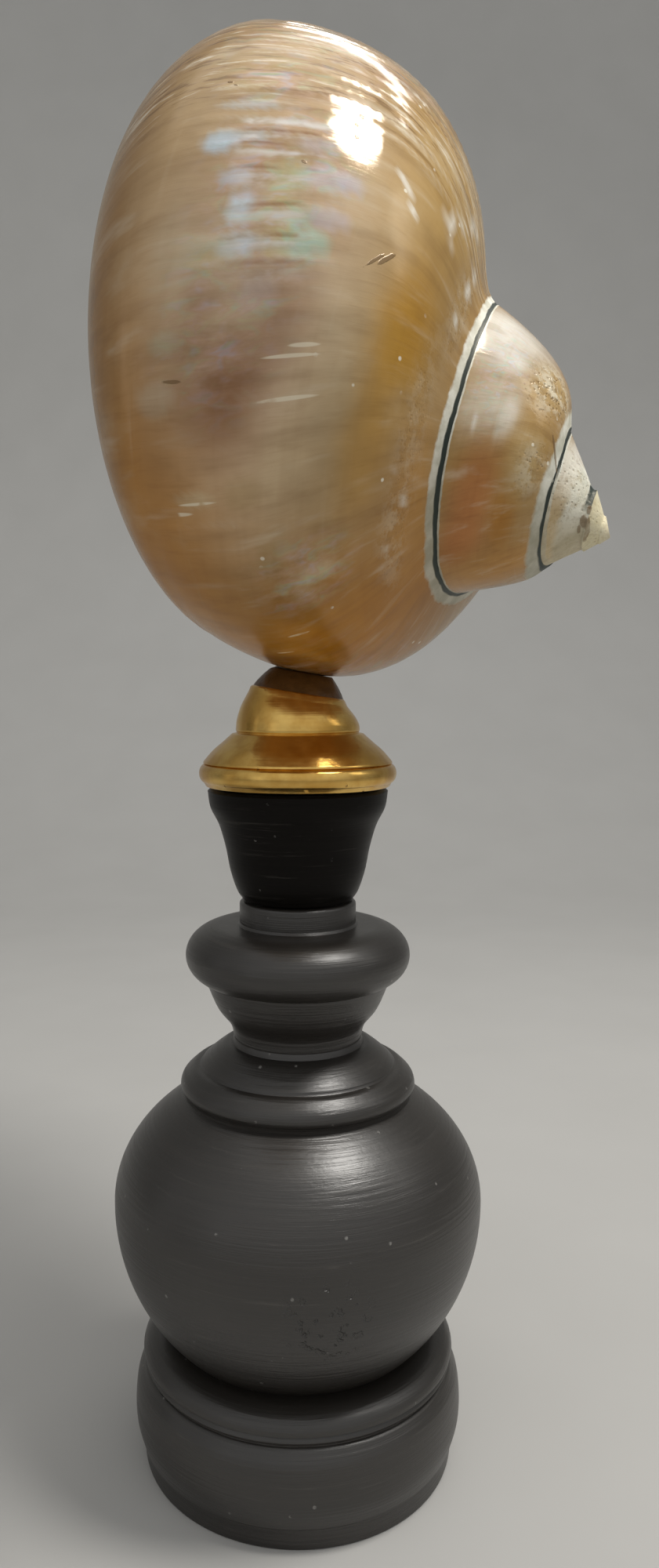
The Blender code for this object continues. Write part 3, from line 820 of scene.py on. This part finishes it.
# Patches in the order they are laid: a tint, then for each turn in degrees, share across,
# half-length in degrees, half-width, strength. Below SMALL_PATCH in length the edge is crisp.
SMALL_PATCH = 4
SMALL_EDGE, WIDE_EDGE = 3, 1.5
PATCHES = [
    ("gold", (72, 0.3, 24, 0.3, 0.45), (44, 0.32, 42, 0.26, 0.85)),
    ("olive", (44, 0.92, 14, 0.2, 0.6)),
    ("rosy", (4, 0.72, 24, 0.24, 0.85)),
    ("olive", (0, 0.48, 26, 0.14, 0.6)),
    # A broad pale haze over the front: pale nacre with a painted sheen
    ("haze", (2, 0.76, 44, 0.42, 0.56)),
    # The orange underside, its warmth partly painted bounce light from the brass
    ("orange", (-66, 0.45, 34, 0.95, 0.95), (-42, 1.02, 32, 0.26, 0.8),
     (-14, 1.08, 26, 0.1, 0.35)),
    ("edge", (-10, 1.24, 46, 0.12, 0.8), (-95, 0.6, 22, 0.9, 0.5)),
    ("amber", (17, 0.28, 15, 0.12, 0.9), (-8, 0.34, 14, 0.09, 0.5)),
    ("ochre", (-25, 0.12, 26, 0.1, 0.6)),
    ("purple", (-7, 0.77, 10, 0.11, 0.8), (6, 0.66, 8, 0.09, 0.5), (0, 0.88, 9, 0.05, 0.45),
     (43, 0.78, 2, 0.1, 0.35)),
    ("umber", (25, 0.77, 15, 0.17, 0.5)),
    ("sky", (28, 0.93, 2.2, 0.04, 0.98), (30.5, 0.87, 1.2, 0.04, 0.55),
     (23.5, 0.865, 1.8, 0.035, 0.6), (19, 0.83, 2.8, 0.03, 0.9), (13.5, 0.815, 2.2, 0.05, 0.85),
     (36, 0.9, 1, 0.07, 0.45)),
    ("lilac", (30, 0.63, 2.2, 0.08, 0.92), (34, 0.7, 1.6, 0.06, 0.55),
     (23.5, 0.61, 2, 0.055, 0.7), (8, 0.74, 3, 0.05, 0.35)),
    ("mint", (18, 0.65, 2.6, 0.065, 0.95), (21, 0.7, 2, 0.04, 0.55), (27, 0.72, 1.6, 0.045, 0.5)),
    ("lime", (24, 0.745, 6, 0.04, 0.65), (16.5, 0.72, 2.6, 0.04, 0.6),
     (11, 0.86, 2.5, 0.06, 0.35)),
    ("cream", (2.5, 0.8, 1.5, 0.07, 0.25)),
    ("mint", (-3.5, 0.95, 2, 0.04, 0.25)),
    ("cream", (-26, 0.85, 1.4, 0.06, 0.4), (-35, 0.47, 2.2, 0.07, 0.5),
     (-40, 0.52, 3, 0.05, 0.35), (-16, 0.6, 8, 0.06, 0.22)),
    ("olive", (-33, 0.62, 5, 0.03, 0.45), (-22, 0.7, 3, 0.06, 0.3)),
    ("pale", (-12, 0.96, 3, 0.05, 0.3)),
    # White flecks of wear, with painted glints among them; the last, on the penultimate whorl's
    # top, is its white under a painted highlight
    ("white", (41, 0.47, 0.9, 0.008, 0.8), (40.5, 0.425, 1.2, 0.008, 0.8),
     (38, 0.395, 0.9, 0.007, 0.7), (34, 0.445, 0.8, 0.007, 0.6), (48, 0.31, 3.2, 0.012, 0.75),
     (46, 0.25, 3, 0.014, 0.75), (37, 0.1, 1.8, 0.012, 0.8), (-11, 0.195, 2, 0.012, 0.6),
     (-31.5, 0.195, 2.4, 0.012, 0.65), (-19, 0.15, 1.8, 0.012, 0.5), (51, 0.105, 3, 0.02, 0.85),
     (50, 0.275, 3.2, 0.018, 0.7), (56, 0.25, 2.4, 0.016, 0.6), (60, 0.11, 3, 0.018, 0.6),
     (66, 0.21, 3, 0.018, 0.6), (70, 0.19, 2, 0.02, 0.5), (-300, 0.78, 22, 0.34, 0.9)),
    ("sand", (-303, 0.36, 16, 0.26, 0.9)),
    # Painted highlight: a silvery streak on the penultimate whorl
    ("white", (-338, 0.76, 12, 0.22, 0.7)),
    ("gold", (-350, 0.55, 30, 0.6, 0.55)),
    ("rust", (-372, 0.74, 22, 0.2, 0.9)),
    ("orange", (-380, 0.46, 20, 0.12, 0.75)),
    ("rust", (-398, 0.8, 16, 0.22, 0.9)),
    ("ochre", (-416, 0.5, 20, 0.6, 0.95)),
    ("sand", (-352, 0.38, 18, 0.12, 0.6)),
    ("white", (-336, 0.62, 10, 0.07, 0.5), (-672, 0.55, 34, 0.7, 0.95)),
    ("slate", (-718, 0.3, 12, 0.3, 0.55)),
    ("old_cream", (-1060, 0.5, 320, 2, 0.92)),
    # The third whorl's white, and a painted highlight on the penultimate whorl
    ("white", (-640, 0.62, 16, 0.22, 0.7), (-313, 0.72, 6, 0.1, 0.9)),
    # Painted highlights: silvery streaks on the penultimate whorl
    ("pale", (-334, 0.74, 9, 0.03, 0.7), (-340, 0.66, 8, 0.025, 0.6)),
    ("white", (-346, 0.84, 4, 0.014, 0.7)),
]

# Where the nacre shows its play of colour, where it is worn, where its polish is brightest
# and where it tints what it reflects: turn in degrees, share across, half-length in degrees,
# half-width, strength
PEARLY = [
    (24, 0.76, 16, 0.17, 0.4), (44, 0.86, 6, 0.12, 0.4), (6, 0.8, 16, 0.16, 0.28),
    (-36, 0.5, 9, 0.16, 0.3), (-318, 0.78, 26, 0.22, 0.35), (70, 0.8, 24, 0.3, 0.25),
    (150, 0.6, 40, 0.4, 0.3), (-120, 0.6, 50, 0.4, 0.3),
]
WORN = [
    (-4, 0.16, 30, 0.06, 0.22), (-30, 0.19, 16, 0.05, 0.35), (45, 0.1, 20, 0.05, 0.3),
    (-303, 0.34, 18, 0.22, 0.95), (-350, 0.3, 14, 0.14, 0.55), (-690, 0.5, 60, 0.6, 0.6),
    (-1060, 0.5, 300, 2, 0.4),
]
GLOSSY = [
    (46, 0.6, 18, 0.2, 1), (62, 0.48, 24, 0.34, 1), (84, 0.72, 30, 0.5, 0.95),
    (-310, 0.6, 40, 0.5, 0.9), (140, 0.9, 60, 1.2, 0.7), (-660, 0.5, 60, 0.6, 0.4),
]
GOLDEN = [
    (-74, 0.6, 36, 1.2, 0.45), (-16, 1.22, 44, 0.16, 0.5), (-400, 0.6, 30, 0.5, 0.5),
]

# Painted highlights and painted shade in bars beside the ripples: growth line in degrees and
# brightness, 0.5 for none
PAINTED_RIPPLE_LIGHT_FROM, PAINTED_RIPPLE_LIGHT_TO = 10.4, 58.4
PAINTED_RIPPLE_LIGHT = [
    (10.4, 0.5), (11.1, 0.75), (11.8, 0.35), (12.8, 0.72), (13.7, 0.4), (16.4, 0.5),
    (17.3, 0.75), (17.9, 0.42), (19, 0.88), (20, 0.35), (20.8, 0.72), (21.7, 0.42),
    (25, 0.5), (25.8, 0.22), (27, 0.62), (31.5, 0.75), (32.6, 0.18), (34, 0.6),
    (35.5, 0.85), (36.6, 0.15), (38, 0.6), (40.5, 0.85), (41.8, 0.15), (43, 0.6),
    (46.8, 0.8), (48, 0.22), (51, 0.9), (52.6, 0.2), (53.8, 0.95), (55, 0.15),
    (56.8, 1), (58.4, 0.5),
]

# Painted glints, short bright lines of reflected light in the polish: turn in degrees, share
# across, half-length, half-width
PAINTED_GLINTS = [
    (-53, 0.565, 0.35, 0.045), (-64.5, 0.605, 0.3, 0.035), (-61.5, 0.65, 0.25, 0.04),
    (-30, 0.905, 0.4, 0.05), (4, 0.58, 0.4, 0.045), (1.6, 0.61, 0.35, 0.08),
    (-4.8, 0.6, 0.4, 0.09), (-26.5, 0.84, 0.3, 0.06),
]

# Small dark marks in the polish: turn in degrees, share across, half-length, half-width, and
# degrees that the mark leans for each whorl's width across
DARK_MARKS = [
    (23.2, 0.45, 0.5, 0.022, -100), (24.9, 0.42, 0.75, 0.022, -100),
    (-8.5, 0.92, 0.3, 0.026, -20), (39.5, 0.97, 0.3, 0.007, -10), (39, 0.955, 0.22, 0.005, 0),
    (30, 0.72, 0.35, 0.008, 0), (-331.5, 0.11, 1.6, 0.11, 60), (-1097, 0.9, 26, 0.22, 0),
    (-697, 0.015, 9, 0.03, 0), (-1057, 0.985, 9, 0.04, 0), (-722, 0.05, 12, 0.09, 0),
    (-738, 0.11, 9, 0.05, 0), (-1082, 0.96, 16, 0.12, 0), (44.6, 0.64, 0.42, 0.007, 0),
    (42.3, 0.64, 0.3, 0.006, 0), (40, 0.625, 0.34, 0.006, 0),
]


def patch_share(turns, across, patch):
    """A patch's share at each place; the patch leans with the growth lines."""
    turn, at, long, wide, strength = patch
    along = (turns * 360 + LINE_LEAN * (across - at) - turn) / long
    side = (across - at) / wide
    edge = SMALL_EDGE if long < SMALL_PATCH else WIDE_EDGE
    return strength * np.exp(-(along ** 2 + side ** 2) ** edge)


def paint_shell(mesh, turns, across):
    """Give each point its growth colour, with painted shade and highlights, and its shares of
    pearl, wear and polish.
    """
    colours = np.tile(np.array(TAN), (len(turns), 1))
    for name, *patches in PATCHES:
        for patch in patches:
            share = patch_share(turns, across, patch)[:, None]
            colours = colours * (1 - share) + np.array(TINTS[name]) * share
    # Painted shade in the troughs between the ridges and painted highlights on their crests
    crest = whorl_lift(turns * TURN, np.clip(across, 0.0, 1.0)) / MM
    crest = np.where(across < 1.0, crest, 0.0)[:, None]
    colours = colours * (1 - TROUGH_PAINTED_SHADE * np.clip(0.05 - crest, 0.0, 0.1) / 0.1)
    high = CREST_PAINTED_HIGHLIGHT * np.clip((crest - 0.07) / 0.1, 0.0, 1.0)
    colours = colours * (1 - high) + np.array(TINTS["pale"]) * high
    inside = ease((across - 2.02) / 0.06)[:, None]
    colours = colours * (1 - inside) + np.array(INSIDE) * inside
    layer = mesh.attributes.new("growth_colour", "FLOAT_COLOR", "POINT")
    layer.data.foreach_set("color", np.c_[colours, np.ones(len(turns))].ravel())
    for name, patches in (("pearl", PEARLY), ("worn", WORN), ("gloss", GLOSSY),
                          ("golden", GOLDEN)):
        values = INSIDE_PEARL * inside[:, 0] if name == "pearl" else np.zeros(len(turns))
        for patch in patches:
            values = np.maximum(values, patch_share(turns, across, patch))
        layer = mesh.attributes.new(name, "FLOAT", "POINT")
        layer.data.foreach_set("value", values)


def shell():
    """The shell in its place, with its growth marks and growth colours."""
    skin = shell_skin()
    local = np.concatenate(skin.points)
    place = np.array(shell_place())
    world = local @ place[:3, :3].T + place[:3, 3]
    piece = new_piece("turban_shell", world.tolist(), skin.faces, nacre_finish(), "shell")
    mesh = piece.data
    marks = np.array(skin.marks)
    layer = mesh.uv_layers.new(name="growth")
    layer.data.foreach_set("uv", marks.ravel())
    corners = np.concatenate([np.array(face) for face in skin.faces])
    turns = np.zeros(len(world))
    across = np.zeros(len(world))
    turns[corners[::-1]] = marks[::-1, 0]
    across[corners[::-1]] = marks[::-1, 1]
    paint_shell(mesh, turns, across)
    return piece


def pedestal():
    """Collar with the neck's recess, disc, cup, waist, step, ring, ball and foot."""
    profile = in_mm([(0, 68.1), (3, 68.1), (3, 75.4), (7.7, 75.4), (7.95, 75.32),
                     (8.15, 75.12), (8.2, 74.9), (8.2, 72.4), (8.45, 72.05)])
    disc_depth = 4.75 * MM
    profile += arc((DISC_RADIUS - disc_depth, DISC_CENTRE), (disc_depth, DISC_HALF_HEIGHT),
                   90, -66, 34)
    profile += smooth_line(in_mm([(12.8, 64), (11.3, 60.7), (9.5, 58.4), (8.95, 56.4)]), 8)
    profile += smooth_line(in_mm([(9.25, 55.65), (10.3, 55.45), (11.9, 54.35), (13.3, 53.15),
                                  (13.55, 52.8)]), 6)
    profile += smooth_line(in_mm([(13.75, 52.6), (14.6, 52.45), (15.5, 51.75), (16.15, 51.05),
                                  (16.4, 50.2), (16.25, 49.6), (15.95, 49.25)]), 5)
    ball_start = degrees(acos(15.8 * MM / BALL_RADIUS))
    ball_end = degrees(acos(17.4 * MM / BALL_RADIUS))
    profile += arc((0, BALL_CENTRE), (BALL_RADIUS, BALL_RISE), ball_start, 0, 30)
    profile += arc((0, BALL_CENTRE), (BALL_RADIUS, BALL_DROP), -3, -ball_end, 28)
    profile += arc((17.6 * MM, 14.2 * MM), (3.9 * MM, 2.3 * MM), 90, 0, 14)
    profile += in_mm([(21.4, 13.9), (20.95, 13.65), (21.15, 13.4), (21.25, 13.1), (21.15, 12.85),
                      (20.8, 12.55), (20.8, 12.4)])
    profile += smooth_line(in_mm([(21.2, 12.2), (22.15, 10.6), (22.5, 8), (22.4, 5.4),
                                  (21.7, 3)]), 8)
    profile += in_mm([(21.3, 2.7), (21.15, 2.45), (21.2, 0.4), (21.1, 0.12), (20.9, 0), (0, 0)])
    finish = black_wood_finish("satin_black_wood", 0.15 * MM, 0.8, 0.9)
    turned_piece("turned_pedestal", profile, finish, "pedestal")


def neck():
    """Tapered neck, its plug in the cap above and its tenon in the pedestal below."""
    profile = in_mm([(0, 95.4), (9.9, 95.4), (9.9, 91.2), (12.3, 91.2)])
    profile += smooth_line(in_mm([(12.7, 90.8), (12.3, 88.5), (11.1, 86.1), (10.15, 82.9),
                                  (9.5, 79.7), (8.6, 77), (7.75, 75.7)]), 8)
    profile += in_mm([(2.7, 75.7), (2.7, 68.7), (0, 68.7)])
    # The satin black made far darker and duller: painted shade under the brass cap
    finish = black_wood_finish("neck_wood_painted_shade", 0.05 * MM, 0.08, 0.28)
    turned_piece("tapered_neck", profile, finish, "neck", steps=128)


def brass_cap():
    """Spun cap with a bead at its rim; its top is cut at a slant and rises round the bed."""
    profile = [(radius * MM, CAP_TOP + (COLLAR_RISE - drop) * MM) for radius, drop in
               ((0, 0), (2, 0), (4.5, 0), (6.1, 0), (6.5, 0.12), (6.7, 0.35))]
    profile += smooth_line(in_mm([(6.95, 104), (8, 102.2), (8.6, 100.6), (8.75, 99.5)]), 8)
    profile += in_mm([(8.74, 99.25), (8.62, 99.02), (8.66, 98.95)])
    profile += smooth_line(in_mm([(9.3, 98.8), (10.4, 97.8), (12, 96.4), (13.3, 94.9)]), 8)
    profile += in_mm([(13.32, 94.75), (13.15, 94.62), (13.1, 94.55)])
    profile += arc((13.0 * MM, 93.3 * MM), (0.9 * MM, 1.3 * MM), 75, -75, 16)
    profile += in_mm([(13, 91.6), (12.9, 91.5), (10.2, 91.5), (10.2, 95.7), (0, 95.7)])
    piece = turned_piece("spun_brass_cap", profile, brass_finish(), "brass_cap",
                         steps=160)
    for vertex in piece.data.vertices:
        share = min(1, max(0, (vertex.co.z - SLANTED_FROM) / (CAP_TOP - SLANTED_FROM)))
        if vertex.co.z > SOCKET_TOP:
            vertex.co.z -= (tan(CAP_SLANT) * vertex.co.x + CAP_CUT) * share


def glue_bed(shell_piece):
    """Bed on the slanted cap, pressed down to just under the shell where they meet."""
    profile = in_mm([(0, 4.2), (2, 4.1), (3.6, 3.7)])
    profile += smooth_line(in_mm([(4.4, 3.2), (5.2, 2.3), (6, 1.2), (6.6, 0.1)]), 6)
    profile += in_mm([(6.66, -0.15), (6.5, -0.33), (0, -0.35)])
    piece = turned_piece("dark_bed", profile, glue_finish(), "glue_bed", steps=96)
    slant = Matrix.Translation((0, 0, CAP_TOP)) @ Matrix.Rotation(CAP_SLANT, 4, "Y")
    piece.data.transform(slant)
    for vertex in piece.data.vertices:
        under = Vector((vertex.co.x, vertex.co.y, 90 * MM))
        met, touch, _, _ = shell_piece.ray_cast(under, Vector((0, 0, 1)))
        if met:
            vertex.co.z = min(vertex.co.z, touch.z - BED_GAP)


def photo_camera():
    """The photo's own view, level and off its centre by the camera's shift."""
    data = bpy.data.cameras.new("photo_view")
    data.sensor_width = 36.0
    data.lens = FOCAL_PIXELS / PHOTO_HEIGHT * data.sensor_width
    data.shift_x = (PHOTO_WIDTH / 2 - AXIS_COLUMN) / PHOTO_HEIGHT
    data.shift_y = (EYE_ROW - PHOTO_HEIGHT / 2) / PHOTO_HEIGHT
    data.clip_start = 0.01
    camera = new_object("photo_view", data)
    camera.location = (0.0, -EYE_DISTANCE, EYE_HEIGHT)
    camera.rotation_euler = (radians(90), 0.0, 0.0)
    bpy.context.scene.camera = camera


# Lamps: name, place, what they face, width, height (0 for a round one), watts and tone
WARM, NEAR_WHITE = (1.0, 0.97, 0.92), (1.0, 0.98, 0.95)
LAMPS = [
    ("key", (0.165, -0.055, 0.485), (0.007, -0.031, 0.169), 0.13, 0, 1.45, WARM),
    ("back_strip", (0.12, 0.2, 0.5), (0.0, 0.0, 0.15), 0.26, 0.03, 0.16, NEAR_WHITE),
    ("ceiling", (-0.02, 0.02, 0.64), (0.0, -0.01, 0.15), 0.5, 0.34, 0.35, NEAR_WHITE),
    ("right_window", (0.38, -0.05, 0.36), (0.0, 0.0, 0.12), 0.07, 0.16, 0.07, WARM),
    ("left_strip", (-0.6, -0.05, 0.12), (0.0, 0.0, 0.1), 0.1, 0.45, 0.04, NEAR_WHITE),
    ("front_strip", (-0.44, -0.43, 0.13), (0.0, 0.0, 0.1), 0.05, 0.4, 0.03, NEAR_WHITE),
]


def lamp(name, place, target, width, height, watts, tone):
    """A soft lamp that faces its target."""
    data = bpy.data.lights.new(name, "AREA")
    data.shape = "RECTANGLE" if height else "DISK"
    data.size = width
    if height:
        data.size_y = height
    data.energy = watts
    data.color = tone
    light = new_object(name, data)
    light.location = place
    aim = Vector(target) - Vector(place)
    light.rotation_euler = aim.to_track_quat("-Z", "Y").to_euler()


def studio():
    """Pale floor that sweeps up behind, a soft room, a key lamp and a few faint soft ones."""
    sweep = [(-1.2, 0.0), (0.35, 0.0)]
    sweep += [(0.35 + 0.35 * sin(a), 0.35 - 0.35 * cos(a))
              for a in np.radians(np.arange(10, 91, 10))]
    sweep += [(0.7, 1.6)]
    points = [(side, y, z) for y, z in sweep for side in (-2.0, 2.0)]
    faces = [(2 * k, 2 * k + 1, 2 * k + 3, 2 * k + 2) for k in range(len(sweep) - 1)]
    mesh = bpy.data.meshes.new("pale_sweep")
    mesh.from_pydata(points, [], faces)
    mesh.materials.append(floor_finish())
    mesh.shade_smooth()
    floor = new_object("pale_sweep", mesh)

    world = bpy.data.worlds.new("soft_room")
    world.use_nodes = True
    room = Wire(world.node_tree).node("TexCoord", out=0)
    side, depth, height = parted(room)
    light = (0.12 + height.step(-0.25, 0.95) * 0.3 + side.step(-0.1, 0.9) * 0.06
             + depth.step(0.3, -1.0) * 0.48)
    background = world.node_tree.nodes["Background"]
    background.inputs["Color"].default_value = colour(0.86, 0.86, 0.85)
    world.node_tree.links.new(light.socket, background.inputs["Strength"])
    bpy.context.scene.world = world
    bpy.context.scene.view_settings.view_transform = "Standard"

    for values in LAMPS:
        lamp(*values)


photo_camera()
glue_bed(shell())
brass_cap()
neck()
pedestal()
studio()
